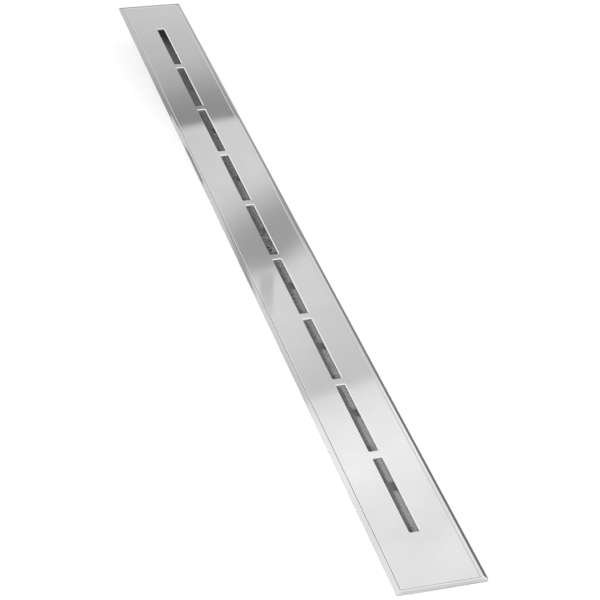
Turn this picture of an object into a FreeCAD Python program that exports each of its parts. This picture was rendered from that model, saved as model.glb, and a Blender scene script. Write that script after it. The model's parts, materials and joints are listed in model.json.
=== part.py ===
import FreeCAD, Part
import math
import os

# A slim channel drain for a shower floor: a slotted cover plate lying in the frame of a pressed
# steel channel, with an outlet, a strainer, an odour seal and four screw feet.
# X runs across the channel, Y along it and Z up. Z = 0 is the floor under the feet.

V = FreeCAD.Vector
up = V(0, 0, 1)

# Overall size
length = 850.0
width = 60.0
height = 35.0

# Sheet the channel is pressed from
sheet = 1.2
bend_inside = 0.4

# Cover plate and its slots
cover_thickness = 2.0
cover_gap = 0.2
cover_edge_break = 0.2
slot_count = 9
slot_length = 76.0
slot_width = 6.5
slot_bridge = 7.5
slot_corner = 0.5
slot_edge_break = 0.6

# Frame round the cover
frame_width = 4.0
frame_edge = 0.4
frame_level = 1.6
frame_fall = 0.3
frame_corner = 1.2
recess_corner = 1.0

# Rubber pads under the cover
pad_thickness = 0.8
pad_edge_gap = 0.5
pad_corner = 1.0
pad_length = 20.0
pads_per_side = 4
pad_first_from_end = 38.0

# Trough below the cover
trough_width = 38.0
end_shelf = 17.0
floor_depth_at_ends = 14.5
floor_fall = 2.5
outlet_flat_margin = 6.0
trough_bend = 2.0
trough_corner = 5.0

# Outlet pipe welded under the trough
outlet_radius = 16.0
outlet_wall = 1.2
outlet_reach = 12.8
collar_width = 2.0
collar_thickness = 1.2
pipe_chamfer = 0.6

# Odour seal: a moulded sleeve, its sealing ring and a rubber valve
sleeve_lip_overlap = 1.8
sleeve_lip_thickness = 1.0
sleeve_lip_rim = 1.3
sleeve_clearance = 0.3
sleeve_wall = 1.4
sleeve_depth = 8.6
ring_section = 1.6
ring_corner = 0.4
ring_groove_depth = 0.7
ring_from_lip = 3.2
valve_wall = 0.8
valve_drop = 3.6
valve_mouth_radius = 3.0
valve_fold_radius = 6.3
valve_slit_width = 0.5
valve_clip_height = 2.0

# Strainer basket
basket_sheet = 0.7
basket_play = 0.4
basket_depth = 5.2
basket_rim_play = 0.3
basket_taper = 1.2
hole_radius = 1.2
hole_rings = 2
hole_ring_step = 4.0
knob_radius = 2.0
knob_neck_radius = 1.2
knob_neck_height = 1.5
knob_shoulder = 0.6
knob_height = 3.0

# Screw feet
foot_across = 16.0
foot_from_end = 125.0
stud_radius = 3.0
thread_clearance = 0.05
stud_end_gap = 0.4
boss_length = 9.0
boss_across_flats = 10.0
boss_flange_radius = 7.0
boss_flange_thickness = 1.2
lock_nut_height = 3.2
lock_nut_across_flats = 10.0
nut_chamfer = 0.8
nut_chamfer_height = 0.5
wrench_hex_across_flats = 8.0
wrench_hex_height = 1.4
shoe_radius = 6.0
shoe_height = 4.5
shoe_top_radius = 4.6
shoe_edge = 1.6
shoe_socket_depth = 2.8
edge_chamfer = 0.5

# Places that follow from the sizes above
bend_outside = bend_inside + sheet
top = height
recess_depth = cover_thickness + pad_thickness
shelf = top - recess_depth
recess_x = width - 2 * frame_width
recess_y = length - 2 * frame_width
cover_x = recess_x - 2 * cover_gap
cover_y = recess_y - 2 * cover_gap
trough_length = recess_y - 2 * end_shelf
floor = top - floor_depth_at_ends - floor_fall
floor_under = floor - sheet
shelf_flat = (recess_x - trough_width) / 2 - bend_inside - bend_outside
pad_width = shelf_flat - 2 * pad_edge_gap
outlet_bore = outlet_radius - outlet_wall
collar_radius = outlet_radius + collar_width
outlet_flat = collar_radius + outlet_flat_margin
sleeve_lip_radius = outlet_bore + sleeve_lip_overlap
sleeve_outer = outlet_bore - sleeve_clearance
sleeve_bore = sleeve_outer - sleeve_wall
groove_floor = sleeve_outer - ring_groove_depth
ring_height = floor - ring_from_lip
sleeve_bottom = floor - sleeve_depth
strainer_seat = floor + sleeve_lip_thickness
strainer_bottom = strainer_seat - basket_depth
slot_pitch = slot_length + slot_bridge
foot_x = foot_across / 2
foot_y = length / 2 - foot_from_end
foot_places = [(-foot_x, -foot_y), (foot_x, -foot_y), (-foot_x, foot_y), (foot_x, foot_y)]


def rounded_wire(size_x, size_y, radius, z):
    """Closed rectangle with round corners, centred on the Z axis."""
    x = size_x / 2
    y = size_y / 2
    r = radius
    diagonal = r * math.sqrt(0.5)
    edges = []
    corners = [(x - r, y - r, 0), (r - x, y - r, 90), (r - x, r - y, 180), (x - r, r - y, 270)]
    last = None
    for cx, cy, turn in corners:
        a = math.radians(turn)
        start = V(cx + r * math.cos(a), cy + r * math.sin(a), z)
        middle = V(cx + diagonal * (math.cos(a) - math.sin(a)), cy + diagonal * (math.sin(a) + math.cos(a)), z)
        end = V(cx - r * math.sin(a), cy + r * math.cos(a), z)
        if last is not None:
            edges.append(Part.LineSegment(last, start).toShape())
        edges.append(Part.Arc(start, middle, end).toShape())
        last = end
    edges.append(Part.LineSegment(last, V(x, y - r, z)).toShape())
    return Part.Wire(edges)


def prism(size_x, size_y, radius, low, high):
    face = Part.Face(rounded_wire(size_x, size_y, radius, low))
    return face.extrude(V(0, 0, high - low))


def hexagon(across_flats, low, high):
    corner = across_flats / math.sqrt(3)
    points = [V(corner * math.cos(math.radians(60 * i)), corner * math.sin(math.radians(60 * i)), low)
              for i in range(7)]
    return Part.Face(Part.makePolygon(points)).extrude(V(0, 0, high - low))


def turned(profile):
    """Solid of revolution about Z from (radius, height) points."""
    points = [V(r, 0, z) for r, z in profile]
    face = Part.Face(Part.makePolygon(points + [points[0]]))
    return face.revolve(V(0, 0, 0), up, 360)


def drum(radius, low, high):
    return Part.makeCylinder(radius, high - low, V(0, 0, low), up)


def edges_where(shape, wanted):
    """Edges of a shape whose every end and middle point passes the test."""
    found = []
    for edge in shape.Edges:
        middle = edge.valueAt((edge.FirstParameter + edge.LastParameter) / 2)
        if all(wanted(p) for p in [v.Point for v in edge.Vertexes] + [middle]):
            found.append(edge)
    return found


def round_level(shape, z, radius):
    """Fillet every edge that lies wholly in the plane at height z."""
    return shape.makeFillet(radius, edges_where(shape, lambda p: abs(p.z - z) < 1e-6))


def round_loop(shape, size_x, size_y, z, radius):
    """Fillet the level loop of edges that follows a rounded rectangle's own outline."""
    def on_loop(p):
        inside = abs(p.x) < size_x / 2 + 1e-6 and abs(p.y) < size_y / 2 + 1e-6
        near_side = abs(p.x) > size_x / 2 - trough_corner or abs(p.y) > size_y / 2 - trough_corner
        return abs(p.z - z) < 1e-6 and inside and near_side
    return shape.makeFillet(radius, edges_where(shape, on_loop))


def frame_roof(z):
    """Block under the frame's top face, level beside the recess and then falling to its outer edge."""
    level = frame_edge + frame_level
    outer = rounded_wire(width, length, frame_corner, z - frame_fall)
    inner = rounded_wire(recess_x + 2 * level, recess_y + 2 * level, recess_corner + level, z)
    return Part.makeLoft([outer, inner], True, True)


def frame_sheet():
    low = top - frame_fall - sheet
    slab = prism(width, length, frame_corner, low, top - frame_fall)
    return slab.fuse(frame_roof(top)).cut(frame_roof(top - sheet))


def recess_tray(grow, bend):
    """Tray that the cover lies in; grow takes the inner face out to the outer one."""
    block = prism(recess_x + 2 * grow, recess_y + 2 * grow, recess_corner + grow, shelf - grow, top)
    return round_level(block, shelf - grow, bend)


def recess_mouth():
    """Inside of the recess, opening upwards past the small edge left where the frame is welded on."""
    tray = recess_tray(0, bend_inside)
    above = prism(2 * width, length + width, frame_corner, top, top + sheet)
    return round_loop(tray.fuse(above), recess_x, recess_y, top, frame_edge)


def trough_block(grow):
    """Trough whose floor falls from both ends to a flat round the outlet."""
    half = trough_length / 2 + grow
    end_floor = top - floor_depth_at_ends - grow
    low = floor - grow
    outline = [V(0, -half, shelf), V(0, -half, end_floor), V(0, -outlet_flat, low),
               V(0, outlet_flat, low), V(0, half, end_floor), V(0, half, shelf)]
    across = trough_width + 2 * grow
    side = Part.Face(Part.makePolygon(outline + [outline[0]]))
    side.translate(V(-across / 2, 0, 0))
    block = side.extrude(V(across, 0, 0))
    corners = edges_where(block, lambda p: abs(abs(p.y) - half) < 1e-6 and abs(abs(p.x) - across / 2) < 1e-6)
    block = block.makeFillet(trough_corner + grow, corners)
    rim = [e for e in edges_where(block, lambda p: p.z < end_floor + 1e-6) if not is_floor_crease(e)]
    return block.makeFillet(trough_bend + grow, rim)


def is_floor_crease(edge):
    """True for a line that runs straight across the floor beside the outlet's flat."""
    return all(abs(v.Y) < outlet_flat + 1e-6 for v in edge.Vertexes) and edge.BoundBox.YLength < 1e-6


def channel_body():
    inner = recess_mouth().fuse(trough_block(0))
    outer = recess_tray(sheet, bend_outside).fuse(trough_block(sheet))
    body = frame_sheet().fuse(outer).cut(inner)
    body = body.cut(drum(outlet_bore, floor_under - 1, floor + 1)).removeSplitter()
    body = round_loop(body, trough_width, trough_length, shelf, bend_outside)
    body = round_loop(body, trough_width + 2 * sheet, trough_length + 2 * sheet, shelf - sheet, bend_inside)
    return round_loop(body, recess_x + 2 * sheet, recess_y + 2 * sheet, top - sheet, bend_inside)


def slot_places():
    first = -(slot_count - 1) / 2 * slot_pitch
    return [first + i * slot_pitch for i in range(slot_count)]


def cover_plate():
    low = top - cover_thickness
    plate = prism(cover_x, cover_y, recess_corner - cover_gap, low, top)
    plate = plate.makeChamfer(cover_edge_break, edges_where(plate, lambda p: abs(p.z - top) < 1e-6))
    slot = prism(slot_width, slot_length, slot_corner, low - 1, top + 1)
    for y in slot_places():
        plate = plate.cut(slot.translated(V(0, y, 0)))

    def at_slot(p):
        return abs(p.z - top) < 1e-6 and abs(p.x) < slot_width
    return plate.makeChamfer(slot_edge_break, edges_where(plate, at_slot))


def pad_places():
    first = -length / 2 + pad_first_from_end
    step = -2 * first / (pads_per_side - 1)
    x = trough_width / 2 + bend_outside + shelf_flat / 2
    return [(side * x, first + i * step) for side in (-1, 1) for i in range(pads_per_side)]


def cover_pad():
    return prism(pad_width, pad_length, pad_corner, shelf, shelf + pad_thickness)


def outlet_pipe():
    bottom = floor_under - outlet_reach
    return turned([
        (outlet_bore, floor_under), (collar_radius, floor_under),
        (collar_radius, floor_under - collar_thickness), (outlet_radius, floor_under - collar_thickness),
        (outlet_radius, bottom + pipe_chamfer), (outlet_radius - pipe_chamfer, bottom), (outlet_bore, bottom)])


def odour_seal_sleeve():
    low = ring_height - ring_section / 2
    high = ring_height + ring_section / 2
    rim = strainer_seat + basket_sheet
    rim_inside = sleeve_lip_radius - sleeve_lip_rim
    return turned([
        (sleeve_bore, sleeve_bottom), (sleeve_outer, sleeve_bottom), (sleeve_outer, low),
        (groove_floor, low), (groove_floor, high), (sleeve_outer, high), (sleeve_outer, floor),
        (sleeve_lip_radius, floor), (sleeve_lip_radius, rim), (rim_inside, rim),
        (rim_inside, strainer_seat), (sleeve_bore, strainer_seat)])


def odour_seal_ring():
    """Rubber ring squeezed between the sleeve's groove and the pipe's bore."""
    half = ring_section / 2
    corner = ring_corner
    inner = groove_floor
    outer = outlet_bore
    low = ring_height - half
    high = ring_height + half
    return turned([
        (inner + corner, low), (outer - corner, low), (outer, low + corner), (outer, high - corner),
        (outer - corner, high), (inner + corner, high), (inner, high - corner), (inner, low + corner)])


def valve_shell(inset):
    """Outside of the rubber valve: a clip band that narrows to a mouth with a slit."""
    z = sleeve_bottom
    drop = z - valve_drop
    r = sleeve_bore - inset
    return turned([
        (0, z + valve_clip_height), (r, z + valve_clip_height), (r, z),
        (valve_fold_radius - inset, drop + inset + valve_wall),
        (valve_mouth_radius, drop + inset), (0, drop + inset)])


def odour_seal_valve():
    valve = valve_shell(0).cut(valve_shell(valve_wall))
    slit = Part.makeBox(2 * valve_mouth_radius, valve_slit_width, valve_drop)
    slit.translate(V(-valve_mouth_radius, -valve_slit_width / 2, sleeve_bottom - valve_drop - 1))
    return valve.cut(slit)


def strainer_basket():
    rim_radius = sleeve_lip_radius - sleeve_lip_rim - basket_rim_play
    rim = strainer_seat + basket_sheet
    mouth = sleeve_bore - basket_play
    base = mouth - basket_taper
    base_top = strainer_bottom + basket_sheet
    cup = turned([
        (0, strainer_bottom), (base, strainer_bottom), (mouth, strainer_seat), (rim_radius, strainer_seat),
        (rim_radius, rim), (mouth - basket_sheet, rim), (base - basket_sheet, base_top), (0, base_top)])
    hole = drum(hole_radius, strainer_bottom - 1, base_top + 1)
    for ring in range(1, hole_rings + 1):
        for i in range(6 * ring):
            a = math.radians(60 * i / ring)
            reach = hole_ring_step * ring
            cup = cup.cut(hole.translated(V(reach * math.cos(a), reach * math.sin(a), 0)))
    return cup


def strainer_knob():
    low = strainer_bottom + basket_sheet
    neck = low + knob_neck_height
    high = low + knob_height
    return turned([
        (0, low), (knob_neck_radius, low), (knob_neck_radius, neck), (knob_radius, neck + knob_shoulder),
        (knob_radius, high), (0, high)])


def floor_under_at(y):
    """Height of the trough's underside at a place along it."""
    run = trough_length / 2 + sheet - outlet_flat
    return floor_under + floor_fall * max(0, abs(y) - outlet_flat) / run


def hex_with_bore(across_flats, low, high):
    """Nut blank: hexagon with turned corners and a clear bore."""
    corner = across_flats / math.sqrt(3)
    blank = turned([
        (0, low), (corner - nut_chamfer, low), (corner, low + nut_chamfer_height),
        (corner, high - nut_chamfer_height), (corner - nut_chamfer, high), (0, high)])
    bore = drum(stud_radius + thread_clearance, low - 1, high + 1)
    return hexagon(across_flats, low, high).common(blank).cut(bore)


def foot_boss(x, y):
    seat = floor_under_at(y)
    low = seat - boss_length
    boss = hex_with_bore(boss_across_flats, low, seat + 1)
    flange = drum(boss_flange_radius, seat - boss_flange_thickness, seat + 1)
    flange = flange.cut(drum(stud_radius + thread_clearance, low, seat + 2))
    boss = boss.fuse(flange).removeSplitter().translated(V(x, y, 0))
    return boss.cut(trough_block(sheet))


def lock_nut(x, y):
    high = floor_under_at(y) - boss_length
    nut = hex_with_bore(lock_nut_across_flats, high - lock_nut_height, high)
    return nut.translated(V(x, y, 0))


def foot_stud(x, y):
    head = floor_under_at(y) - floor_fall * boss_flange_radius / trough_length - stud_end_gap
    socket = shoe_height - shoe_socket_depth
    stud = turned([(0, socket), (stud_radius, socket), (stud_radius, head - edge_chamfer),
                   (stud_radius - edge_chamfer, head), (0, head)])
    flats = hexagon(wrench_hex_across_flats, shoe_height, shoe_height + wrench_hex_height)
    return stud.fuse(flats).removeSplitter().translated(V(x, y, 0))


def foot_shoe(x, y):
    shoe = turned([
        (0, 0), (shoe_radius - edge_chamfer, 0), (shoe_radius, edge_chamfer), (shoe_radius, shoe_edge),
        (shoe_top_radius, shoe_height), (stud_radius, shoe_height),
        (stud_radius, shoe_height - shoe_socket_depth), (0, shoe_height - shoe_socket_depth)])
    return shoe.translated(V(x, y, 0))


def save(name, shape):
    solids = shape.Solids
    piece = solids[0] if len(solids) == 1 else Part.makeCompound(solids)
    piece.exportStep("parts/" + name + ".step")
    print(name, len(solids), "solid(s)", round(piece.Volume / 1000, 3), "cm3", "valid" if piece.isValid() else "INVALID")


def main():
    os.makedirs("parts", exist_ok=True)
    save("cover_plate", cover_plate())
    save("channel_body", channel_body())
    save("outlet_pipe", outlet_pipe())
    save("odour_seal_sleeve", odour_seal_sleeve())
    save("odour_seal_ring", odour_seal_ring())
    save("odour_seal_valve", odour_seal_valve())
    save("strainer_basket", strainer_basket())
    save("strainer_knob", strainer_knob())
    for number, (x, y) in enumerate(pad_places(), 1):
        save("cover_pad_" + str(number), cover_pad().translated(V(x, y, 0)))
    for number, (x, y) in enumerate(foot_places, 1):
        save("foot_boss_" + str(number), foot_boss(x, y))
        save("lock_nut_" + str(number), lock_nut(x, y))
        save("foot_stud_" + str(number), foot_stud(x, y))
        save("foot_shoe_" + str(number), foot_shoe(x, y))


main()
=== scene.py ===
import json
import math
import bmesh
import bpy
from mathutils import Matrix, Vector

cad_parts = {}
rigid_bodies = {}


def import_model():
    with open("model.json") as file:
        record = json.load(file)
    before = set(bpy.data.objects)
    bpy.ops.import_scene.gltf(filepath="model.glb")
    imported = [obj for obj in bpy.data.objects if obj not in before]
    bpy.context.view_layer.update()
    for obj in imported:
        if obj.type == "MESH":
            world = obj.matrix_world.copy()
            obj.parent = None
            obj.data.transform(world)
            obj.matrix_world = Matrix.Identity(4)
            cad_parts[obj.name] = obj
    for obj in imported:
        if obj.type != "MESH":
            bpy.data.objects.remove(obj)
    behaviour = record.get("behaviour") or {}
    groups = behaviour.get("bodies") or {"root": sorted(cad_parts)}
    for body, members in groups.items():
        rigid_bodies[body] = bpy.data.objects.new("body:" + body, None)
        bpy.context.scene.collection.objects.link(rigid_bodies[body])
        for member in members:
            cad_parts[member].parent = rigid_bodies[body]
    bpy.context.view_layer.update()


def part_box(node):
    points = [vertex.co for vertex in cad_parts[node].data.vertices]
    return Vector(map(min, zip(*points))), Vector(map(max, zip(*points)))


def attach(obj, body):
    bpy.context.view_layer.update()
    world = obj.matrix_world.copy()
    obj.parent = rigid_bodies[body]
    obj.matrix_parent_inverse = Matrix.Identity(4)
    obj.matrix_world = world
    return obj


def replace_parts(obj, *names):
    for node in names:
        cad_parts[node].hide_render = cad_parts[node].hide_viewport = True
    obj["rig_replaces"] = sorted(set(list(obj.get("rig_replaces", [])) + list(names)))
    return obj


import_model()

scene = bpy.context.scene
scene.view_settings.view_transform = "Standard"


# helpers for working on the active mesh in edit mode
def deselectAll():
    if bpy.context.object and bpy.context.object.mode != "OBJECT":
        bpy.ops.object.mode_set(mode="OBJECT")
    bpy.ops.object.select_all(action="DESELECT")


def selectOnly(piece):
    deselectAll()
    piece.select_set(True)
    bpy.context.view_layer.objects.active = piece


def selectWhere(kind, test):
    bpy.ops.mesh.select_mode(type=kind)
    bpy.ops.mesh.select_all(action="DESELECT")
    shape = bmesh.from_edit_mesh(bpy.context.object.data)
    for item in {"VERT": shape.verts, "EDGE": shape.edges, "FACE": shape.faces}[kind]:
        if test(item):
            item.select_set(True)
    bmesh.update_edit_mesh(bpy.context.object.data)


# metres within which places count as one, coarse and fine, and within which points merge
nearSlack = 2e-5
fineSlack = 2e-6
mergeGap = 1e-6
# a face this steep is a wall, and one this level is a top
wallSlope = 0.1
topSlope = 0.9


def near(a, b, slack=nearSlack):
    return abs(a - b) < slack


def levelEdge(edge, z):
    return all(near(v.co.z, z) for v in edge.verts)


def besideWall(edge):
    return any(abs(f.normal.z) < wallSlope for f in edge.link_faces)


def bevelEdges(test, size, steps, **options):
    selectWhere("EDGE", test)
    bpy.ops.mesh.bevel(offset=size, segments=steps, affect="EDGES", **options)


def moveAll(move):
    bpy.ops.mesh.select_all(action="SELECT")
    bpy.ops.transform.translate(value=move)


def cutPlane(place, across, **options):
    bpy.ops.mesh.select_all(action="SELECT")
    bpy.ops.mesh.bisect(plane_co=place, plane_no=across, **options)


def addModifier(piece, kind, **values):
    mod = piece.modifiers.new(kind.lower(), kind)
    for key, value in values.items():
        setattr(mod, key, value)
    bpy.context.view_layer.objects.active = piece
    bpy.ops.object.modifier_apply(modifier=mod.name)


def startPiece():
    deselectAll()
    bpy.ops.mesh.primitive_plane_add(size=1, location=(0, 0, 0))
    bpy.ops.object.mode_set(mode="EDIT")
    bpy.ops.mesh.delete(type="VERT")
    return bpy.context.object


def closeSeams():
    bpy.ops.mesh.select_all(action="SELECT")
    bpy.ops.mesh.remove_doubles(threshold=mergeGap)
    bpy.ops.mesh.normals_make_consistent(inside=False)


smoothAngle = 35
normalWeight = 100


# shading, name, material, body and the node that the piece stands for
def finishPiece(piece, name, body, material, stands):
    selectOnly(piece)
    bpy.ops.object.transform_apply(location=True, rotation=True, scale=True)
    bpy.ops.object.shade_smooth_by_angle(angle=math.radians(smoothAngle))
    addModifier(piece, "WEIGHTED_NORMAL", keep_sharp=True, weight=normalWeight)
    piece.name = name
    piece.data.name = name
    if material:
        piece.data.materials.clear()
        piece.data.materials.append(material)
    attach(piece, body)
    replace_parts(piece, *stands)


# copy of a piece with its own mesh, moved, and turned half round where asked
def copyPiece(piece, name, body, stands, move, turned=False):
    selectOnly(piece)
    bpy.ops.object.duplicate(linked=False)
    twin = bpy.context.object
    bpy.ops.object.parent_clear(type="CLEAR_KEEP_TRANSFORM")
    bpy.ops.object.mode_set(mode="EDIT")
    bpy.ops.mesh.select_all(action="SELECT")
    if turned:
        bpy.ops.transform.rotate(value=math.pi, orient_axis="Z", center_override=(0, 0, 0))
    bpy.ops.transform.translate(value=move)
    bpy.ops.object.mode_set(mode="OBJECT")
    twin.name = name
    twin.data.name = name
    # the copy takes over no node from the piece
    twin["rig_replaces"] = []
    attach(twin, body)
    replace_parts(twin, *stands)


# rounded rectangle of edges at one height, added to the mesh in edit mode
def addLoop(sizeX, sizeY, radius, z, steps):
    bpy.ops.mesh.select_mode(type="VERT")
    bpy.ops.mesh.select_all(action="DESELECT")
    bpy.ops.mesh.primitive_plane_add(size=1, location=(0, 0, z))
    bpy.ops.transform.resize(value=(sizeX, sizeY, 1), center_override=(0, 0, z))
    bpy.ops.mesh.bevel(offset=radius, segments=steps, affect="VERTICES")
    bpy.ops.mesh.delete(type="ONLY_FACE")
    bpy.ops.mesh.select_mode(type="EDGE")


# how far a point lies outside a rounded rectangle
def outsideLoop(point, sizeX, sizeY, radius):
    x = abs(point.x) - sizeX / 2 + radius
    y = abs(point.y) - sizeY / 2 + radius
    return math.hypot(max(x, 0), max(y, 0)) + min(max(x, y), 0) - radius


def onLoop(edge, loop):
    *outline, z = loop
    return all(near(v.co.z, z) and near(outsideLoop(v.co, *outline), 0) for v in edge.verts)


# ring of edges added to the mesh in edit mode
def addRing(radius, z, steps):
    bpy.ops.mesh.select_mode(type="VERT")
    bpy.ops.mesh.select_all(action="DESELECT")
    bpy.ops.mesh.primitive_circle_add(vertices=steps, radius=radius, location=(0, 0, z))
    bpy.ops.mesh.select_mode(type="EDGE")


# sections are added this far apart, so that each can be picked by its height
sectionStep = 0.1


# joins each section to the next, then moves them to their own heights
def joinSections(heights, closed=False):
    def atSection(item, i):
        return all(near(v.co.z, -i * sectionStep) for v in getattr(item, "verts", [item]))
    last = len(heights) - 1
    for i in range(last):
        selectWhere("EDGE", lambda e: atSection(e, i) or atSection(e, i + 1))
        bpy.ops.mesh.bridge_edge_loops()
    for i in ([] if closed else [0, last]):
        selectWhere("EDGE", lambda e: atSection(e, i))
        bpy.ops.mesh.edge_face_add()
    if closed:
        selectWhere("EDGE", lambda e: atSection(e, 0) or atSection(e, last))
        bpy.ops.mesh.bridge_edge_loops()
    for i, z in enumerate(heights):
        selectWhere("VERT", lambda v: atSection(v, i))
        bpy.ops.transform.translate(value=(0, 0, z + i * sectionStep))


# turned piece from (radius, height) points
def addTurned(profile, steps, closed=False):
    for i, (radius, z) in enumerate(profile):
        addRing(radius, -i * sectionStep, steps)
    joinSections([z for radius, z in profile], closed)
    closeSeams()


# rounds the rings of edges given as (radius, height, size, steps)
def roundRings(rings):
    def onRing(edge):
        return levelEdge(edge, z) and all(near(v.co.xy.length, radius) for v in edge.verts)
    for radius, z, size, steps in rings:
        bevelEdges(onRing, size, steps)


# uses the cutter on the piece, deletes it and goes back to editing the piece
def cutAway(piece, cutter, operation="DIFFERENCE"):
    bpy.ops.object.mode_set(mode="OBJECT")
    addModifier(piece, "BOOLEAN", object=cutter, operation=operation, solver="EXACT")
    selectOnly(cutter)
    bpy.ops.object.delete()
    selectOnly(piece)
    bpy.ops.object.mode_set(mode="EDIT")


# gives each face one of the finishes, by the name that choose returns for it
def paintFaces(piece, finishes, choose):
    bpy.ops.object.mode_set(mode="OBJECT")
    for finish in finishes:
        piece.data.materials.append(materials[finish])
    for face in piece.data.polygons:
        face.material_index = finishes.index(choose(face))


# materials: small tools for building their nodes
def newMaterial(name):
    mat = bpy.data.materials.new(name)
    mat.use_nodes = True
    return mat, mat.node_tree, mat.node_tree.nodes["Principled BSDF"]


def emptyMaterial(name):
    mat = newMaterial(name)[0]
    mat.node_tree.nodes.clear()
    return mat, mat.node_tree


def addNode(tree, kind, links=(), **values):
    node = tree.nodes.new(kind)
    for key, value in values.items():
        if hasattr(node, key):
            setattr(node, key, value)
        else:
            node.inputs[key.replace("_", " ")].default_value = value
    for source, target in links:
        tree.links.new(source, node.inputs[target])
    return node


def addMath(tree, operation, links, constant=None):
    node = addNode(tree, "ShaderNodeMath", links, operation=operation)
    if constant is not None:
        node.inputs[1].default_value = constant
    return node.outputs[0]


def objectPlace(tree, scale=(1, 1, 1), turn=0):
    place = addNode(tree, "ShaderNodeTexCoord")
    mapping = addNode(tree, "ShaderNodeMapping", [(place.outputs["Object"], "Vector")])
    mapping.inputs["Scale"].default_value = scale
    mapping.inputs["Rotation"].default_value = (0, 0, math.radians(turn))
    return mapping.outputs["Vector"]


def addNoise(tree, where, scale, detail):
    return addNode(tree, "ShaderNodeTexNoise", [(where, "Vector")], Scale=scale, Detail=detail).outputs["Fac"]


# noise seldom leaves this range
noiseLow, noiseHigh = 0.3, 0.7


def remap(tree, source, low, high, fromLow=noiseLow, fromHigh=noiseHigh):
    node = addNode(tree, "ShaderNodeMapRange", [(source, "Value")])
    node.inputs["From Min"].default_value = fromLow
    node.inputs["From Max"].default_value = fromHigh
    node.inputs["To Min"].default_value = low
    node.inputs["To Max"].default_value = high
    return node.outputs["Result"]


def addBump(tree, height, distance, under=None):
    bump = addNode(tree, "ShaderNodeBump", [(height, "Height")], Strength=1, Distance=distance)
    if under:
        tree.links.new(under, bump.inputs["Normal"])
    return bump.outputs["Normal"]


def greyRamp(tree, source, stops):
    ramp = addNode(tree, "ShaderNodeValToRGB", [(source, "Fac")])
    marks = ramp.color_ramp.elements
    while len(marks) > 1:
        marks.remove(marks[0])
    for i, (place, grey) in enumerate(stops):
        mark = marks[0] if i == 0 else marks.new(place)
        mark.position = place
        mark.color = (grey, grey, grey, 1)
    return ramp.outputs["Color"]


def greyNoise(tree, source, low, high):
    return greyRamp(tree, source, [(noiseLow, low), (noiseHigh, high)])


# polished sheet: long shallow waves, fine mottling and finer scratches
polish = {
    "grey": (0.783, 0.807), "greyReach": (0.7, 1.3), "roughness": (0.02, 0.045), "detail": 3,
    "waveSize": (9, 5, 9), "waveTurn": 24, "waveDetail": 1.5, "waveDepth": 0.00012,
    "mottleScale": 70, "mottleDepth": 0.000002,
    "scratchScale": (1500, 40, 1500), "scratchTurn": 2, "scratchDepth": 0.00000015,
}


def polishedSteel():
    s = polish
    mat, tree, steel = newMaterial("polishedSteel")
    steel.inputs["Metallic"].default_value = 1
    wide = addNoise(tree, objectPlace(tree, s["waveSize"], s["waveTurn"]), 1, s["waveDetail"])
    mottle = addNoise(tree, objectPlace(tree), s["mottleScale"], s["detail"])
    scratch = addNoise(tree, objectPlace(tree, s["scratchScale"], s["scratchTurn"]), 1, s["detail"])
    both = addMath(tree, "ADD", [(mottle, 0), (scratch, 1)])
    low, high = s["grey"]
    tree.links.new(greyRamp(tree, remap(tree, both, 0, 1, *s["greyReach"]), [(0, low), (1, high)]),
                   steel.inputs["Base Color"])
    tree.links.new(remap(tree, mottle, *s["roughness"]), steel.inputs["Roughness"])
    normal = addBump(tree, wide, s["waveDepth"])
    normal = addBump(tree, mottle, s["mottleDepth"], normal)
    normal = addBump(tree, scratch, s["scratchDepth"], normal)
    tree.links.new(normal, steel.inputs["Normal"])
    return mat


# plain sheet, blasted trough, cut edges, the lighter painted-highlight colour on edge bevels, and pressed cup
# share one recipe
dullSteel = {
    "mill": {"grey": (0.58, 0.68), "metal": 1.0, "roughness": (0.34, 0.48), "grain": (900, 60, 900)},
    "blasted": {"grey": (0.58, 0.65), "metal": 0.2, "roughness": (0.52, 0.66), "grain": (1500,) * 3},
    # near-white metal colour for the cover's edge bevels: a painted highlight that draws bright lines round
    # the slots and edges
    "paintedHighlight": {"grey": (0.92, 0.97), "metal": 1.0, "roughness": (0.14, 0.24), "grain": (700,) * 3},
    "cut": {"grey": (0.66, 0.78), "metal": 0.6, "roughness": (0.42, 0.6), "grain": (700, 700, 2600)},
    "pressed": {"grey": (0.68, 0.74), "metal": 0.4, "roughness": (0.46, 0.58), "grain": (1200,) * 3},
}
dullNoise = {"cloudScale": 110, "detail": 3, "grainDepth": 0.000006}


def dullSteelFinish(kind):
    s = dullSteel[kind]
    mat, tree, steel = newMaterial(kind + "Steel")
    steel.inputs["Metallic"].default_value = s["metal"]
    cloud = addNoise(tree, objectPlace(tree), dullNoise["cloudScale"], dullNoise["detail"])
    grain = addNoise(tree, objectPlace(tree, s["grain"]), 1, dullNoise["detail"])
    tree.links.new(greyNoise(tree, cloud, *s["grey"]), steel.inputs["Base Color"])
    tree.links.new(remap(tree, grain, *s["roughness"]), steel.inputs["Roughness"])
    tree.links.new(addBump(tree, grain, dullNoise["grainDepth"]), steel.inputs["Normal"])
    return mat


zincFinish = {"grey": (0.50, 0.66), "roughness": (0.24, 0.42), "spangleScale": 900, "spangleReach": (0, 0.8),
              "cloudScale": 260, "detail": 3, "depth": 0.000006}


def zincSteel():
    s = zincFinish
    mat, tree, steel = newMaterial("zincSteel")
    steel.inputs["Metallic"].default_value = 1
    where = objectPlace(tree)
    spangle = addNode(tree, "ShaderNodeTexVoronoi", [(where, "Vector")], Scale=s["spangleScale"])
    cloud = addNoise(tree, where, s["cloudScale"], s["detail"])
    tree.links.new(greyNoise(tree, cloud, *s["grey"]), steel.inputs["Base Color"])
    tree.links.new(remap(tree, spangle.outputs["Distance"], *s["roughness"], *s["spangleReach"]),
                   steel.inputs["Roughness"])
    tree.links.new(addBump(tree, cloud, s["depth"]), steel.inputs["Normal"])
    return mat


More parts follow.
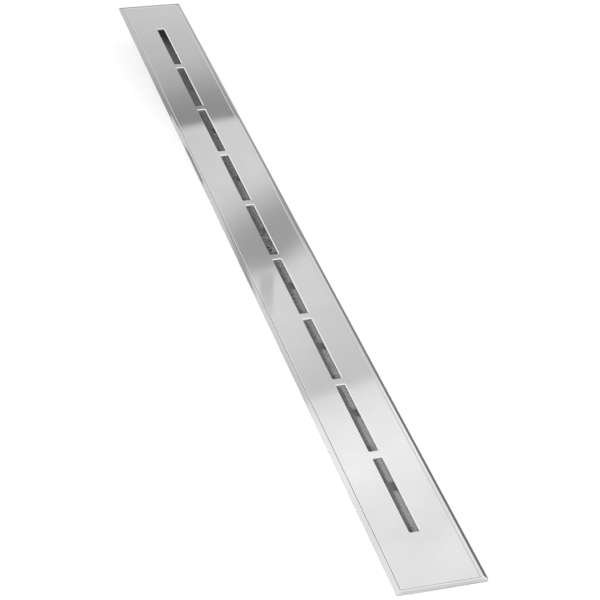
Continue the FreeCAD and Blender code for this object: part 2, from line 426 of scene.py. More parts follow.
moulded = {
    "blackRubber": {"grey": 0.03, "roughness": (0.55, 0.75), "grainScale": 1800, "depth": 0.00001},
    "greyPlastic": {"grey": 0.34, "roughness": (0.35, 0.5), "grainScale": 2600, "depth": 0.000006},
    "blackPlastic": {"grey": 0.04, "roughness": (0.32, 0.48), "grainScale": 2600, "depth": 0.000008},
}
mouldedNoise = {"cloudScale": 120, "detail": 2, "greyShare": (0.85, 1.15)}


def mouldedFinish(name):
    s = moulded[name]
    mat, tree, plastic = newMaterial(name)
    where = objectPlace(tree)
    cloud = addNoise(tree, where, mouldedNoise["cloudScale"], mouldedNoise["detail"])
    grain = addNoise(tree, where, s["grainScale"], mouldedNoise["detail"])
    greys = [s["grey"] * share for share in mouldedNoise["greyShare"]]
    tree.links.new(greyNoise(tree, cloud, *greys), plastic.inputs["Base Color"])
    tree.links.new(remap(tree, grain, *s["roughness"]), plastic.inputs["Roughness"])
    tree.links.new(addBump(tree, grain, s["depth"]), plastic.inputs["Normal"])
    return mat


# cover plate: one slotted sheet with broken edges
cover = {
    "slotLength": 0.076, "slotWidth": 0.0065, "slotPitch": 0.0835, "slotCount": 9, "slotMargin": 0.0015,
    "slotCorner": 0.0005, "cornerRadius": 0.0008, "cornerSteps": 4,
    "edgeBreak": 0.0003, "slotBreak": 0.0006, "backBreak": 0.00012, "cutSlope": 0.2, "flatSlope": 0.98,
}


def coverSheet():
    s = cover
    low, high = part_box("cover_plate")
    top = high[2]
    middles = [(i - (s["slotCount"] - 1) / 2) * s["slotPitch"] for i in range(s["slotCount"])]
    cellX = s["slotWidth"] / 2 + s["slotMargin"]
    cellY = s["slotLength"] / 2 + s["slotMargin"]
    piece = startPiece()
    bpy.ops.mesh.primitive_plane_add(size=1, location=(0, 0, top))
    bpy.ops.transform.resize(value=(high[0] - low[0], high[1] - low[1], 1), center_override=(0, 0, top))
    for x in (-cellX, cellX):
        cutPlane((x, 0, 0), (1, 0, 0))
    for y in middles:
        for side in (-1, 1):
            cutPlane((0, y + side * cellY, 0), (0, 1, 0))

    # each slot is a cell of that grid, drawn in by the margin
    def inCell(face):
        c = face.calc_center_median()
        return abs(c.x) < cellX and any(abs(c.y - y) < cellY for y in middles)
    selectWhere("FACE", inCell)
    bpy.ops.mesh.inset(thickness=s["slotMargin"])
    bpy.ops.mesh.delete(type="FACE")
    bpy.ops.mesh.select_all(action="SELECT")
    bpy.ops.mesh.extrude_region_move(TRANSFORM_OT_translate={"value": (0, 0, low[2] - top)})
    closeSeams()

    def isAtSlot(edge):
        return abs(edge.verts[0].co.x) < cellX

    def isUpright(edge):
        return not near(edge.verts[0].co.z, edge.verts[1].co.z)

    def isCorner(edge):
        end = edge.verts[0].co
        return isUpright(edge) and near(abs(end.x), high[0]) and near(abs(end.y), high[1])

    def onRim(edge, z):
        return levelEdge(edge, z) and besideWall(edge)
    bevelEdges(lambda e: isUpright(e) and isAtSlot(e), s["slotCorner"], s["cornerSteps"])
    bevelEdges(isCorner, s["cornerRadius"], s["cornerSteps"])
    breaks = [(top, True, s["slotBreak"]), (top, False, s["edgeBreak"]),
              (low[2], True, s["backBreak"]), (low[2], False, s["backBreak"])]
    for z, atSlot, size in breaks:
        bevelEdges(lambda e: onRim(e, z) and isAtSlot(e) == atSlot, size, 1, loop_slide=False)

    def chooseFinish(face):
        if abs(face.normal.z) < s["cutSlope"]:
            return "cut"
        # the bevels are real, but their lighter colour is a painted highlight
        return "paintedHighlight" if 0 < face.normal.z < s["flatSlope"] else "polished"
    paintFaces(piece, ["polished", "cut", "paintedHighlight"], chooseFinish)
    finishPiece(piece, "coverSheet", "root", None, ["cover_plate"])


# channel: frame, recess, shelf and trough pressed from one sheet
channel = {
    "sheet": 0.0012, "frameWidth": 0.004, "frameFall": 0.0003, "frameLevel": 0.0016, "frameEdge": 0.0004,
    "frameCorner": 0.0012, "recessCorner": 0.001, "recessDepth": 0.0028, "bendInside": 0.0004,
    "troughWidth": 0.038, "endShelf": 0.017, "endDepth": 0.0145, "floorFall": 0.0025,
    "troughCorner": 0.005, "troughBend": 0.002, "ridge": 0.00015,
    "cornerSteps": 6, "bendSteps": 5, "tightSteps": 3, "ridgeSteps": 2,
    "outletFlat": 0.024, "outletRadius": 0.0148, "outletSteps": 32, "outletMargin": 0.0008,
    "faceSlack": 0.0001, "insideShare": 0.6,
}


# lets the floor fall from both ends to the flat round the outlet
def fallFloor(piece, floor, halfTrough):
    s = channel
    flat = s["outletFlat"]
    for y in (-flat, flat):
        cutPlane((0, y, 0), (0, 1, 0))
    shape = bmesh.from_edit_mesh(piece.data)
    for y in sorted({round(abs(v.co.y), 6) for v in shape.verts if near(v.co.z, floor)}):
        drop = s["floorFall"] * (1 - (y - flat) / (halfTrough - flat))
        selectWhere("VERT", lambda v: near(v.co.z, floor) and near(abs(v.co.y), y, fineSlack))
        bpy.ops.transform.translate(value=(0, 0, -drop))


# round opening for the outlet in the flat of the floor
def openOutlet(piece, flatZ):
    s = channel

    def isFlat(item):
        return all(near(v.co.z, flatZ) for v in item.verts)

    def isMiddle(face):
        c = face.calc_center_median()
        return isFlat(face) and max(abs(c.x), abs(c.y)) < s["faceSlack"]
    selectWhere("FACE", isMiddle)
    bpy.ops.mesh.inset(thickness=s["outletMargin"])
    shape = bmesh.from_edit_mesh(piece.data)
    corner = next(f for f in shape.faces if f.select).verts[0].co
    holeX, holeY = abs(corner.x), abs(corner.y)

    def onBorder(edge):
        return isFlat(edge) and all(
            near(max(abs(v.co.x) - holeX, abs(v.co.y) - holeY), 0, fineSlack) for v in edge.verts)

    def onRing(edge):
        return isFlat(edge) and all(near(v.co.xy.length, s["outletRadius"], fineSlack) for v in edge.verts)
    bpy.ops.mesh.delete(type="ONLY_FACE")
    selectWhere("EDGE", onBorder)
    bpy.ops.mesh.subdivide(number_cuts=s["outletSteps"] // 4 - 1)
    addRing(s["outletRadius"], flatZ, s["outletSteps"])
    selectWhere("EDGE", lambda e: onBorder(e) or onRing(e))
    bpy.ops.mesh.bridge_edge_loops()
    closeSeams()
    selectWhere("FACE", isFlat)
    shape = bmesh.from_edit_mesh(piece.data)
    if sum(f.normal.z for f in shape.faces if f.select) < 0:
        bpy.ops.mesh.select_all(action="SELECT")
        bpy.ops.mesh.flip_normals()


def channelShell():
    s = channel
    low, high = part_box("channel_body")
    width, length = high[0] - low[0], high[1] - low[1]
    top = high[2]
    bend = s["bendInside"] + s["sheet"]
    recessX, recessY = width - 2 * s["frameWidth"], length - 2 * s["frameWidth"]
    level = 2 * (s["frameEdge"] + s["frameLevel"])
    shelf = top - s["recessDepth"]
    troughX, troughY = s["troughWidth"], recessY - 2 * s["endShelf"]
    floor = top - s["endDepth"]
    piece = startPiece()
    loops = [
        (width, length, s["frameCorner"], top - s["frameFall"]),
        (recessX + level, recessY + level, s["recessCorner"] + level / 2, top),
        (recessX, recessY, s["recessCorner"], top),
        (recessX, recessY, s["recessCorner"], shelf),
        (troughX, troughY, s["troughCorner"], shelf),
        (troughX, troughY, s["troughCorner"], floor)]
    rim, ridge, mouth, recessFoot, troughMouth, troughFoot = loops
    for i, loop in enumerate(loops):
        addLoop(*loop[:3], -i * sectionStep, s["cornerSteps"])
    joinSections([loop[3] for loop in loops])
    selectWhere("FACE", lambda f: len(f.verts) > 4 and all(near(v.co.z, rim[3]) for v in f.verts))
    bpy.ops.mesh.delete(type="ONLY_FACE")
    fallFloor(piece, floor, troughY / 2)
    closeSeams()

    # round the bends, the widest first
    def onTroughFoot(edge):
        return all(v.co.z < floor + nearSlack and near(outsideLoop(v.co, *troughFoot[:3]), 0)
                   for v in edge.verts)
    bevelEdges(onTroughFoot, s["troughBend"], s["bendSteps"])
    bevelEdges(lambda e: onLoop(e, troughMouth), bend, s["bendSteps"])
    bevelEdges(lambda e: onLoop(e, recessFoot), s["bendInside"], s["tightSteps"])
    bevelEdges(lambda e: onLoop(e, ridge), s["ridge"], s["ridgeSteps"])
    openOutlet(piece, floor - s["floorFall"])

    # give the sheet its thickness and break the edge at the recess
    bpy.ops.object.mode_set(mode="OBJECT")
    addModifier(piece, "SOLIDIFY", thickness=s["sheet"], offset=-1, use_even_offset=True)
    bpy.ops.object.mode_set(mode="EDIT")
    wall = 2 * s["sheet"]
    underMouth = (recessX + wall, recessY + wall, s["recessCorner"] + s["sheet"], top - s["sheet"])
    bevelEdges(lambda e: onLoop(e, mouth), s["frameEdge"], 1)
    bevelEdges(lambda e: onLoop(e, underMouth), s["bendInside"], s["tightSteps"])

    def chooseFinish(face):
        c = face.center
        outer = max(abs(c.x) - recessX / 2, abs(c.y) - recessY / 2)
        if outer > s["frameWidth"] - s["faceSlack"]:
            return "cut"
        if c.z > top - s["sheet"] and outer > -s["faceSlack"] and face.normal.z > 0:
            return "polished"
        inside = c.z > shelf or outsideLoop(c, *troughMouth[:3]) < bend * s["insideShare"]
        return "blasted" if inside else "mill"
    paintFaces(piece, ["polished", "blasted", "cut", "mill"], chooseFinish)
    finishPiece(piece, "channelShell", "root", None, ["channel_body"])


# outlet: collar under the trough, weld bead and pipe
outlet = {"bore": 0.0148, "pipe": 0.016, "collar": 0.018, "collarThickness": 0.0012, "chamfer": 0.0006,
          "bead": 0.0009, "ripple": 0.00012, "rippleEvery": 3, "steps": 96, "edge": 0.00025}


def outletTube():
    s = outlet
    low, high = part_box("outlet_pipe")
    bottom = low[2]
    top = high[2]
    under = top - s["collarThickness"]
    piece = startPiece()
    addTurned([(s["bore"], top), (s["collar"], top), (s["collar"], under), (s["pipe"], under),
               (s["pipe"], bottom + s["chamfer"]), (s["pipe"] - s["chamfer"], bottom), (s["bore"], bottom)],
              s["steps"], closed=True)
    roundRings([(s["collar"], under, s["edge"], 3), (s["pipe"] - s["chamfer"], bottom, s["edge"] / 2, 2),
                (s["bore"], bottom, s["edge"] / 2, 2), (s["pipe"], under, s["bead"], 4)])

    def onBead(vert):
        turn = round(math.atan2(vert.co.y, vert.co.x) / (2 * math.pi) * s["steps"])
        reach = vert.co.xy.length - s["pipe"]
        onSurface = nearSlack < reach < s["bead"] - nearSlack and vert.co.z < under - nearSlack
        return onSurface and turn % s["rippleEvery"] == 0
    selectWhere("VERT", onBead)
    swell = 1 + s["ripple"] / s["pipe"]
    bpy.ops.transform.resize(value=(swell, swell, 1), center_override=(0, 0, under))
    finishPiece(piece, "outletTube", "root", materials["mill"], ["outlet_pipe"])


# odour seal: moulded sleeve, sealing ring in its groove and rubber valve under it
seal = {
    "bore": 0.0131, "outer": 0.0145, "lip": 0.0166, "lipRim": 0.0013, "lipFoot": 0.018, "seat": 0.019,
    "grooveDepth": 0.0007, "lead": 0.0006, "edge": 0.00025, "steps": 96, "ringCorner": 0.0004,
    "valveWall": 0.0008, "valveFold": 0.0063, "valveMouth": 0.003, "valveRim": 0.0002, "valveTip": 0.0004,
    "clip": 0.002, "slitWidth": 0.0005,
}


def sealSleeve():
    s = seal
    low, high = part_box("odour_seal_sleeve")
    ringLow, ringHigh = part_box("odour_seal_ring")
    groove = s["outer"] - s["grooveDepth"]
    rimInside = s["lip"] - s["lipRim"]
    piece = startPiece()
    addTurned([(s["bore"], low[2]), (s["outer"], low[2]), (s["outer"], ringLow[2]), (groove, ringLow[2]),
               (groove, ringHigh[2]), (s["outer"], ringHigh[2]), (s["outer"], s["lipFoot"]),
               (s["lip"], s["lipFoot"]), (s["lip"], high[2]), (rimInside, high[2]), (rimInside, s["seat"]),
               (s["bore"], s["seat"])], s["steps"], closed=True)
    roundRings([(s["outer"], low[2], s["lead"], 2), (s["lip"], high[2], s["edge"], 3),
                (rimInside, high[2], s["edge"], 3), (s["bore"], s["seat"], s["edge"], 3),
                (s["bore"], low[2], s["edge"], 2), (s["lip"], s["lipFoot"], s["edge"] / 2, 2)])
    finishPiece(piece, "sealSleeve", "root", materials["greyPlastic"], ["odour_seal_sleeve"])


def sealRing():
    s = seal
    low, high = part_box("odour_seal_ring")
    outer = high[0]
    inner = s["outer"] - s["grooveDepth"]
    piece = startPiece()
    addTurned([(inner, low[2]), (outer, low[2]), (outer, high[2]), (inner, high[2])], s["steps"], closed=True)
    roundRings([(radius, z, s["ringCorner"], 4) for radius in (inner, outer) for z in (low[2], high[2])])
    finishPiece(piece, "sealRing", "root", materials["blackRubber"], ["odour_seal_ring"])


def sealValve():
    s = seal
    low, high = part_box("odour_seal_valve")
    bottom = low[2]
    radius, top = high[0], high[2]
    bandFoot = top - s["clip"]
    wall = s["valveWall"]
    mouth, fold = s["valveMouth"], s["valveFold"]
    piece = startPiece()
    addTurned([(mouth, bottom), (fold, bottom + wall), (radius, bandFoot), (radius, top),
               (radius - wall, top), (radius - wall, bandFoot), (fold - wall, bottom + 2 * wall),
               (mouth, bottom + wall)], s["steps"])
    roundRings([(radius, bandFoot, wall, 3), (radius, top, s["valveRim"], 2),
                (radius - wall, top, s["valveRim"], 2), (fold, bottom + wall, wall, 3),
                (mouth, bottom, s["valveTip"], 2)])
    deselectAll()
    bpy.ops.mesh.primitive_cube_add(size=1, location=(0, 0, bottom))
    slit = bpy.context.object
    slit.scale = (2 * mouth, s["slitWidth"], 4 * wall)
    cutAway(piece, slit)
    finishPiece(piece, "sealValve", "root", materials["blackRubber"], ["odour_seal_valve"])


# strainer: pressed cup with two rings of holes, and its knob
strainer = {
    "sheet": 0.0007, "base": 0.0115, "mouth": 0.0127, "hole": 0.0012, "ringStep": 0.004, "rings": 2,
    "firstRing": 6, "footBend": 0.0009, "seatBend": 0.0004, "edge": 0.00015, "steps": 96, "holeSteps": 24,
    "neck": 0.0012, "neckHeight": 0.0015, "shoulder": 0.0006, "knobEdge": 0.0005, "knobSteps": 48,
}


def strainerCup():
    s = strainer
    low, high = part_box("strainer_basket")
    bottom = low[2]
    rim, top = high[0], high[2]
    seat = top - s["sheet"]
    floor = bottom + s["sheet"]
    innerMouth, innerBase = s["mouth"] - s["sheet"], s["base"] - s["sheet"]
    piece = startPiece()
    addTurned([(s["base"], bottom), (s["mouth"], seat), (rim, seat), (rim, top), (innerMouth, top),
               (innerBase, floor)], s["steps"])
    roundRings([(s["base"], bottom, s["footBend"], 4), (s["mouth"], seat, s["seatBend"], 3),
                (innerMouth, top, s["footBend"], 4), (innerBase, floor, s["seatBend"], 3),
                (rim, top, s["edge"], 2), (rim, seat, s["edge"], 2)])
    punches = startPiece()
    for ring in range(1, s["rings"] + 1):
        count = s["firstRing"] * ring
        reach = s["ringStep"] * ring
        for i in range(count):
            turn = 2 * math.pi * i / count
            bpy.ops.mesh.primitive_cylinder_add(
                vertices=s["holeSteps"], radius=s["hole"], depth=4 * s["sheet"],
                location=(reach * math.cos(turn), reach * math.sin(turn), bottom + s["sheet"] / 2))
    cutAway(piece, punches)
    finishPiece(piece, "strainerCup", "root", materials["pressed"], ["strainer_basket"])


def strainerKnob():
    s = strainer
    low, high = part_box("strainer_knob")
    radius, top = high[0], high[2]
    neckTop = low[2] + s["neckHeight"]
    brim = neckTop + s["shoulder"]
    piece = startPiece()
    addTurned([(s["neck"], low[2]), (s["neck"], neckTop), (radius, brim), (radius, top)], s["knobSteps"])
    roundRings([(radius, top, s["knobEdge"], 4), (radius, brim, s["knobEdge"] / 2, 3),
                (s["neck"], neckTop, s["knobEdge"] / 2, 3)])
    finishPiece(piece, "strainerKnob", "root", materials["greyPlastic"], ["strainer_knob"])


# middle of a node's footprint
def nodeMiddle(node):
    low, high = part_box(node)
    return Vector(((low[0] + high[0]) / 2, (low[1] + high[1]) / 2, 0))


# rubber pads under the cover, grooved across their tops
pad = {"count": 8, "corner": 0.001, "cornerSteps": 4, "grooves": 9, "grooveShare": 0.35,
       "grooveDepth": 0.00025, "edge": 0.00012}


def coverPads():
    s = pad
    low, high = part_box("cover_pad_1")
    home = nodeMiddle("cover_pad_1")
    width, length = high[0] - low[0], high[1] - low[1]
    top = high[2]
    piece = startPiece()
    for i in range(2):
        addLoop(width, length, s["corner"], -i * sectionStep, s["cornerSteps"])
    joinSections([low[2], top])
    closeSeams()
    pitch = (length - 2 * s["corner"]) / s["grooves"]
    middles = [(i - (s["grooves"] - 1) / 2) * pitch for i in range(s["grooves"])]
    half = pitch * s["grooveShare"] / 2
    for y in middles:
        for side in (-1, 1):
            cutPlane((0, y + side * half, 0), (0, 1, 0))

    def inGroove(face):
        c = face.calc_center_median()
        return near(c.z, top) and any(abs(c.y - y) < half for y in middles)
    selectWhere("FACE", inGroove)
    bpy.ops.mesh.extrude_region_move(TRANSFORM_OT_translate={"value": (0, 0, -s["grooveDepth"])})
    closeSeams()

    def onTopRim(edge):
        atTop = any(f.normal.z > topSlope for f in edge.link_faces)
        return levelEdge(edge, top) and besideWall(edge) and atTop
    bevelEdges(onTopRim, s["edge"], 2)
    moveAll(home)
    finishPiece(piece, "coverPad1", "root", materials["blackRubber"], ["cover_pad_1"])
    for i in range(2, s["count"] + 1):
        node = "cover_pad_%d" % i
        copyPiece(piece, "coverPad%d" % i, "root", [node], nodeMiddle(node) - home)


# screw feet: welded boss, lock nut, threaded stud and its shoe
foot = {
    "count": 4, "thread": 0.003, "root": 0.00245, "pitch": 0.001, "clearance": 0.00005, "threadSteps": 24,
    "bossLength": 0.009, "bossFlats": 0.010, "flange": 0.007, "flangeThickness": 0.0012,
    "chamfer": 0.0008, "chamferHeight": 0.0005, "overcut": 0.001, "steps": 48, "edge": 0.0003,
    "hexFlats": 0.008, "hexHeight": 0.0014, "shoeSocket": 0.0028, "shoeTop": 0.0046, "shoeEdge": 0.0016,
    "shoeBreak": 0.0005, "tread": (0.0048, 0.0036), "treadDepth": 0.0004, "shelfSlope": 0.00656,
}


def footMiddle(i):
    return nodeMiddle("foot_shoe_%d" % i)


# hexagon with turned corners
def addHexagon(flats, low, high):
    s = foot
    corner = flats / math.sqrt(3)
    addTurned([(corner, low), (corner, high)], 6)
    bpy.ops.mesh.select_all(action="SELECT")
    bpy.ops.transform.rotate(value=math.radians(30), orient_axis="Z", center_override=(0, 0, 0))
    piece = bpy.context.object
    blank = startPiece()
    addTurned([(corner - s["chamfer"], low), (corner, low + s["chamferHeight"]),
               (corner, high - s["chamferHeight"]), (corner - s["chamfer"], high)], s["steps"])
    cutAway(piece, blank, "INTERSECT")


def boreOut(piece, low, high):
    s = foot
    radius = s["thread"] + s["clearance"]
    drill = startPiece()
    addTurned([(radius, low - s["overcut"]), (radius, high + s["overcut"])], s["steps"])
    cutAway(piece, drill)


# moves the first foot's piece home, then copies it for the others; those at the far end are turned half round
def finishFeet(piece, name, body, material, node):
    home = footMiddle(1)
    moveAll(home)
    finishPiece(piece, name + "1", body.replace("#", "1"), material, [node + "1"])
    for i in range(2, foot["count"] + 1):
        middle = footMiddle(i)
        turned = middle.y > 0
        move = middle + home if turned else middle - home
        copyPiece(piece, name + str(i), body.replace("#", str(i)), [node + str(i)], move, turned)


def footBosses():
    s = foot
    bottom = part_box("foot_boss_1")[0][2]
    seat = bottom + s["bossLength"]
    under = seat - s["flangeThickness"]
    piece = startPiece()
    addHexagon(s["bossFlats"], bottom, seat)
    plate = startPiece()
    addTurned([(s["flange"], under), (s["flange"], seat)], s["steps"])
    roundRings([(s["flange"], under, s["edge"], 3)])
    cutAway(piece, plate, "UNION")
    boreOut(piece, bottom, seat)
    selectWhere("VERT", lambda v: near(v.co.z, seat))
    bpy.ops.transform.rotate(value=math.atan(s["shelfSlope"]), orient_axis="X", center_override=(0, 0, seat))
    finishFeet(piece, "footBoss", "root", materials["mill"], "foot_boss_")


def lockNuts():
    low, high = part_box("lock_nut_1")
    piece = startPiece()
    addHexagon(foot["bossFlats"], low[2], high[2])
    boreOut(piece, low[2], high[2])
    finishFeet(piece, "lockNut", "root", materials["zinc"], "lock_nut_")


# shank with a real thread: one tooth of its outline, screwed up and cut to length
def threadedShank(hexHigh, high):
    s = foot
    low = hexHigh - s["hexHeight"] / 2
    start = hexHigh - 2 * s["pitch"]
    shank = startPiece()
    bpy.ops.mesh.primitive_circle_add(vertices=3, radius=s["pitch"], location=(0, 0, 0))
    shape = bmesh.from_edit_mesh(shank.data)
    tooth = [(s["root"], 0, start), (s["thread"], 0, start + s["pitch"] / 2),
             (s["root"], 0, start + s["pitch"])]
    for vert, place in zip(shape.verts, tooth):
        vert.co = place
    bmesh.update_edit_mesh(shank.data)
    selectWhere("EDGE", lambda e: near(e.verts[0].co.x, e.verts[1].co.x))
    bpy.ops.mesh.delete(type="EDGE")
    bpy.ops.object.mode_set(mode="OBJECT")
    turns = math.ceil((high - start) / s["pitch"]) + 1
    addModifier(shank, "SCREW", axis="Z", screw_offset=s["pitch"], iterations=turns, steps=s["threadSteps"],
                render_steps=s["threadSteps"], use_merge_vertices=True, merge_threshold=mergeGap)
    bpy.ops.object.mode_set(mode="EDIT")
    closeSeams()
    for z, across in ((low, (0, 0, -1)), (high, (0, 0, 1))):
        cutPlane((0, 0, z), across, use_fill=True, clear_outer=True, threshold=mergeGap)
    closeSeams()
    return shank


def footStuds():
    s = foot
    low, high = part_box("foot_stud_1")
    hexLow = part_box("foot_shoe_1")[1][2]
    hexHigh = hexLow + s["hexHeight"]
    shank = threadedShank(hexHigh, high[2])
    piece = startPiece()
    addHexagon(s["hexFlats"], hexLow, hexHigh)
    root = startPiece()
    addTurned([(s["thread"], low[2]), (s["thread"], hexLow + s["hexHeight"] / 3)], s["steps"])
    cutAway(piece, root, "UNION")
    cutAway(piece, shank, "UNION")
    finishFeet(piece, "footStud", "foot_#", materials["zinc"], "foot_stud_")


def footShoes():
    s = foot
    low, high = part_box("foot_shoe_1")
    radius = (high[0] - low[0]) / 2
    top = high[2]
    outer, inner = s["tread"]
    piece = startPiece()
    addTurned([(inner, 0), (inner, s["treadDepth"]), (outer, s["treadDepth"]), (outer, 0), (radius, 0),
               (radius, s["shoeEdge"]), (s["shoeTop"], top), (s["thread"], top),
               (s["thread"], top - s["shoeSocket"])], s["steps"])
    roundRings([(radius, 0, s["shoeBreak"], 3), (radius, s["shoeEdge"], s["shoeBreak"], 3),
                (s["shoeTop"], top, s["shoeBreak"], 3)])
    finishFeet(piece, "footShoe", "foot_#", materials["blackPlastic"], "foot_shoe_")


# stage: white floor and world, camera, lamps, and the cards that only mirror rays see
stage = {"floorSize": 14.0, "floorGrey": 0.85, "cameraLift": 0.55, "worldSeen": 1.0, "worldLight": 0.55,
         "roomTilt": (0, 0.8, 1.2), "roomReach": (-0.5, 1.3),
         "roomStops": [(0, 0.42), (0.28, 0.66), (0.53, 1.0), (0.75, 1.0), (1, 0.78)]}


def makeFloor():
    s = stage
    deselectAll()
    bpy.ops.mesh.primitive_plane_add(size=s["floorSize"], location=(0, 0, 0))
    floor = bpy.context.object
    floor.name = "stageFloor"
    mat, tree = emptyMaterial("paleFloor")
    matt = addNode(tree, "ShaderNodeBsdfDiffuse", Color=(s["floorGrey"],) * 3 + (1,))
    path = addNode(tree, "ShaderNodeLightPath")
    power = addMath(tree, "MULTIPLY", [(path.outputs["Is Camera Ray"], 0)], s["cameraLift"])
    lift = addNode(tree, "ShaderNodeEmission", [(power, "Strength")])
    both = addNode(tree, "ShaderNodeAddShader", [(matt.outputs[0], 0), (lift.outputs[0], 1)])
    addNode(tree, "ShaderNodeOutputMaterial", [(both.outputs[0], "Surface")])
    floor.data.materials.append(mat)


# plain white to the camera and plain light on the object; mirror rays see a graded room
def makeWorld():
    s = stage
    world = bpy.data.worlds.new("studioWorld")
    scene.world = world
    world.use_nodes = True
    tree = world.node_tree
    tree.nodes.clear()
    white = (1, 1, 1, 1)
    lit = addNode(tree, "ShaderNodeBackground", Color=white, Strength=s["worldLight"])
    seen = addNode(tree, "ShaderNodeBackground", Color=white, Strength=s["worldSeen"])
    way = addNode(tree, "ShaderNodeTexCoord").outputs["Generated"]
    tilt = addNode(tree, "ShaderNodeVectorMath", [(way, 0)], operation="DOT_PRODUCT")
    tilt.inputs[1].default_value = s["roomTilt"]
    room = greyRamp(tree, remap(tree, tilt.outputs["Value"], 0, 1, *s["roomReach"]), s["roomStops"])
    mirrored = addNode(tree, "ShaderNodeBackground", [(room, "Color")], Strength=s["worldSeen"])
    path = addNode(tree, "ShaderNodeLightPath")
    straight = addMath(tree, "MAXIMUM", [(path.outputs["Is Camera Ray"], 0),
                                         (path.outputs["Is Transmission Ray"], 1)])
    mix = addNode(tree, "ShaderNodeMixShader", [(straight, 0), (lit.outputs[0], 1), (seen.outputs[0], 2)])
    both = addNode(tree, "ShaderNodeMixShader", [(path.outputs["Is Glossy Ray"], 0), (mix.outputs[0], 1),
                                                 (mirrored.outputs[0], 2)])
    addNode(tree, "ShaderNodeOutputWorld", [(both.outputs[0], "Surface")])


viewpoint = {"place": (-0.3466, -1.1843, 0.7914), "aim": (0.0016, -0.1041, 0.035), "roll": 3.26,
             "lens": 109.4, "sensor": 36, "farEnd": 60}


def makeCamera():
    s = viewpoint
    bpy.ops.object.camera_add(location=s["place"])
    camera = bpy.context.object
    camera.name = "studioCamera"
    aim = Vector(s["aim"]) - Vector(s["place"])
    turn = aim.to_track_quat("-Z", "Y").to_matrix() @ Matrix.Rotation(math.radians(s["roll"]), 3, "Z")
    camera.rotation_euler = turn.to_euler()
    camera.data.lens = s["lens"]
    camera.data.sensor_width = s["sensor"]
    camera.data.clip_end = s["farEnd"]
    scene.camera = camera


lampSize = 0.3
lamps = [
    {"name": "keyLamp", "place": (-1.54, 2.78, 2.46), "aim": (0, -1.15, 0), "watts": 4.2, "spread": 26},
    {"name": "fillLamp", "place": (-0.6, -2.6, 1.5), "aim": (0, -0.25, 0), "watts": 0.35, "spread": 24},
]


def makeLamps():
    for s in lamps:
        bpy.ops.object.light_add(type="AREA", location=s["place"])
        lamp = bpy.context.object
        lamp.name = s["name"]
        lamp.data.energy = s["watts"]
        lamp.data.size = lampSize
        lamp.data.spread = math.radians(s["spread"])
        lamp.rotation_euler = (Vector(s["aim"]) - lamp.location).to_track_quat("-Z", "Y").to_euler()
        lamp.visible_glossy = False


# upright card that the polished sheet mirrors; its bands lean by an amount that changes with height
card = {
    "distance": 1.5, "middle": 1.18, "width": 2.64, "height": 3.0, "drift": 0.5, "start": 0.06,
    "lean": [(0.72, 0.10), (0.84, 0.14), (0.92, 0.60), (1.00, 0.50), (1.08, 0.40), (1.30, 0.25)],
    "warpScale": 3.2, "warpDetail": 2, "warp": 0.03, "warpFade": (0.82, 0.98),
    "mottleScale": 6, "mottleDetail": 3, "mottle": (0.95, 1.05),
    "stops": [(0.30, 0.25), (0.56, 0.71), (0.597, 0.64), (0.63, 0.62), (0.66, 0.56), (0.69, 0.47),
              (0.72, 0.37), (0.762, 0.32), (0.768, 0.76), (0.88, 0.75), (0.92, 0.68), (0.955, 0.56),
              (0.99, 0.45), (1.03, 0.41), (1.062, 0.44), (1.085, 0.70), (1.11, 0.80), (1.17, 0.80),
              (1.25, 0.75), (1.34, 0.68), (1.376, 0.69), (1.39, 0.88), (1.46, 1.02), (1.56, 1.04),
              (1.66, 0.95), (3.00, 0.95)],
}

# dark leaning strip in front of the card
flag = {"distance": 1.48, "foot": (0.44, 0.44), "head": (2.2, 2.3), "halfWidth": 0.17,
        "stops": [(0.44, 0.55), (0.70, 0.36), (1.2, 0.21), (2.3, 0.17)]}

# narrow soft-edged pole in front of both
pole = {"distance": 1.47, "middle": 0.447, "low": 1.07, "high": 1.2, "halfWidth": 0.012, "glow": 0.6,
        "leftFade": 0.008, "rightFade": 0.006, "headFade": 0.1}


def onlyMirrored(piece, name, material):
    piece.name = name
    piece.data.materials.append(material)
    piece.visible_camera = False
    piece.visible_diffuse = False
    piece.visible_shadow = False
    piece.visible_transmission = False


def heightRamp(tree, height, stops):
    reach = card["height"]
    share = addMath(tree, "DIVIDE", [(height, 0)], reach)
    return greyRamp(tree, share, [(place / reach, grey) for place, grey in stops])


def placeOnCard(tree):
    place = addNode(tree, "ShaderNodeTexCoord").outputs["Object"]
    split = addNode(tree, "ShaderNodeSeparateXYZ", [(place, 0)])
    return place, split.outputs["X"], split.outputs["Z"]


def cardGlow():
    s = card
    mat, tree = emptyMaterial("cardGlow")
    place, side, height = placeOnCard(tree)
    across = addMath(tree, "MULTIPLY_ADD", [(height, 0), (side, 2)], -s["drift"])
    aside = addMath(tree, "ADD", [(across, 0)], s["start"])
    lean = heightRamp(tree, height, s["lean"])
    level = addMath(tree, "MULTIPLY_ADD", [(aside, 0), (lean, 1), (height, 2)])
    warp = remap(tree, addNoise(tree, place, s["warpScale"], s["warpDetail"]), -s["warp"], s["warp"])
    calm = remap(tree, height, 0, 1, *s["warpFade"])
    warped = addMath(tree, "MULTIPLY_ADD", [(warp, 0), (calm, 1), (level, 2)])
    shade = heightRamp(tree, warped, s["stops"])
    strength = remap(tree, addNoise(tree, place, s["mottleScale"], s["mottleDetail"]), *s["mottle"])
    glow = addNode(tree, "ShaderNodeEmission", [(shade, "Color"), (strength, "Strength")])
    addNode(tree, "ShaderNodeOutputMaterial", [(glow.outputs[0], "Surface")])
    return mat


def flagGlow():
    mat, tree = emptyMaterial("flagGlow")
    height = placeOnCard(tree)[2]
    glow = addNode(tree, "ShaderNodeEmission", [(heightRamp(tree, height, flag["stops"]), "Color")])
    addNode(tree, "ShaderNodeOutputMaterial", [(glow.outputs[0], "Surface")])
    return mat


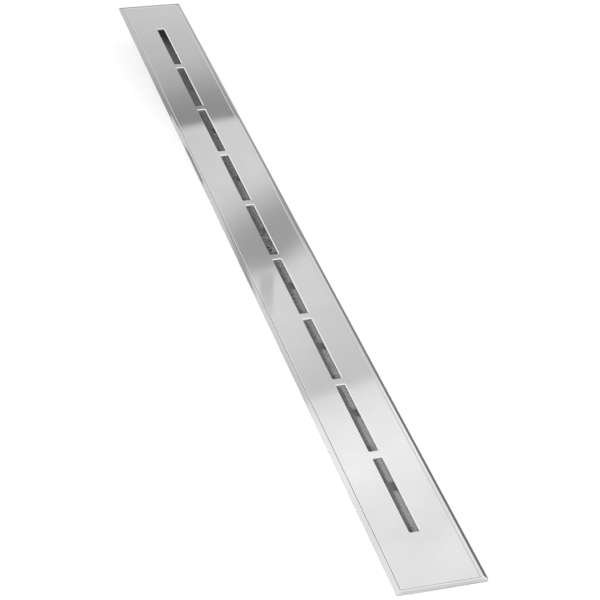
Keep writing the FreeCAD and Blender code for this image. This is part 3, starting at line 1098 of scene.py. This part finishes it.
def poleGlow():
    s = pole
    mat, tree = emptyMaterial("poleGlow")
    side, height = placeOnCard(tree)[1:]
    left, right = s["middle"] - s["halfWidth"], s["middle"] + s["halfWidth"]
    fromLeft = remap(tree, side, 0, 1, left - s["leftFade"], left)
    fromRight = remap(tree, side, 1, 0, right - s["rightFade"], right)
    fromHead = remap(tree, height, 1, 0, s["high"] - s["headFade"], s["high"])
    both = addMath(tree, "MULTIPLY", [(fromLeft, 0), (fromRight, 1)])
    share = addMath(tree, "MULTIPLY", [(both, 0), (fromHead, 1)])
    glow = addNode(tree, "ShaderNodeEmission", Strength=s["glow"])
    clear = addNode(tree, "ShaderNodeBsdfTransparent")
    mix = addNode(tree, "ShaderNodeMixShader", [(share, 0), (clear.outputs[0], 1), (glow.outputs[0], 2)])
    addNode(tree, "ShaderNodeOutputMaterial", [(mix.outputs[0], "Surface")])
    return mat


def addCard(s, width, low, high, name, material):
    deselectAll()
    bpy.ops.mesh.primitive_plane_add(size=1, location=(s["middle"], s["distance"], (low + high) / 2),
                                     rotation=(math.radians(90), 0, 0))
    piece = bpy.context.object
    piece.scale = (width, high - low, 1)
    bpy.ops.object.transform_apply(location=True, rotation=True, scale=True)
    onlyMirrored(piece, name, material)


def addFlag():
    s = flag
    foot = Vector((s["foot"][0], 0, s["foot"][1]))
    head = Vector((s["head"][0], 0, s["head"][1]))
    run = head - foot
    deselectAll()
    bpy.ops.mesh.primitive_plane_add(size=1, location=(0, 0, 0))
    strip = bpy.context.object
    strip.scale = (2 * s["halfWidth"], run.length, 1)
    strip.rotation_euler = (math.radians(90), math.atan2(run.x, run.z), 0)
    strip.location = (foot + head) / 2 + Vector((0, s["distance"], 0))
    bpy.ops.object.transform_apply(location=True, rotation=True, scale=True)
    onlyMirrored(strip, "darkFlag", flagGlow())


print("materials")
materials = {"polished": polishedSteel(), "zinc": zincSteel()}
materials.update({kind: dullSteelFinish(kind) for kind in dullSteel})
materials.update({name: mouldedFinish(name) for name in moulded})

print("cover and channel")
coverSheet()
channelShell()

print("outlet, seal and strainer")
outletTube()
sealSleeve()
sealRing()
sealValve()
strainerCup()
strainerKnob()

print("pads and feet")
coverPads()
footBosses()
lockNuts()
footStuds()
footShoes()

print("stage")
makeFloor()
makeWorld()
makeCamera()
makeLamps()
addCard(card, card["width"], 0, card["height"], "gradientCard", cardGlow())
addFlag()
addCard(pole, 4 * pole["halfWidth"], pole["low"], pole["high"], "softPole", poleGlow())
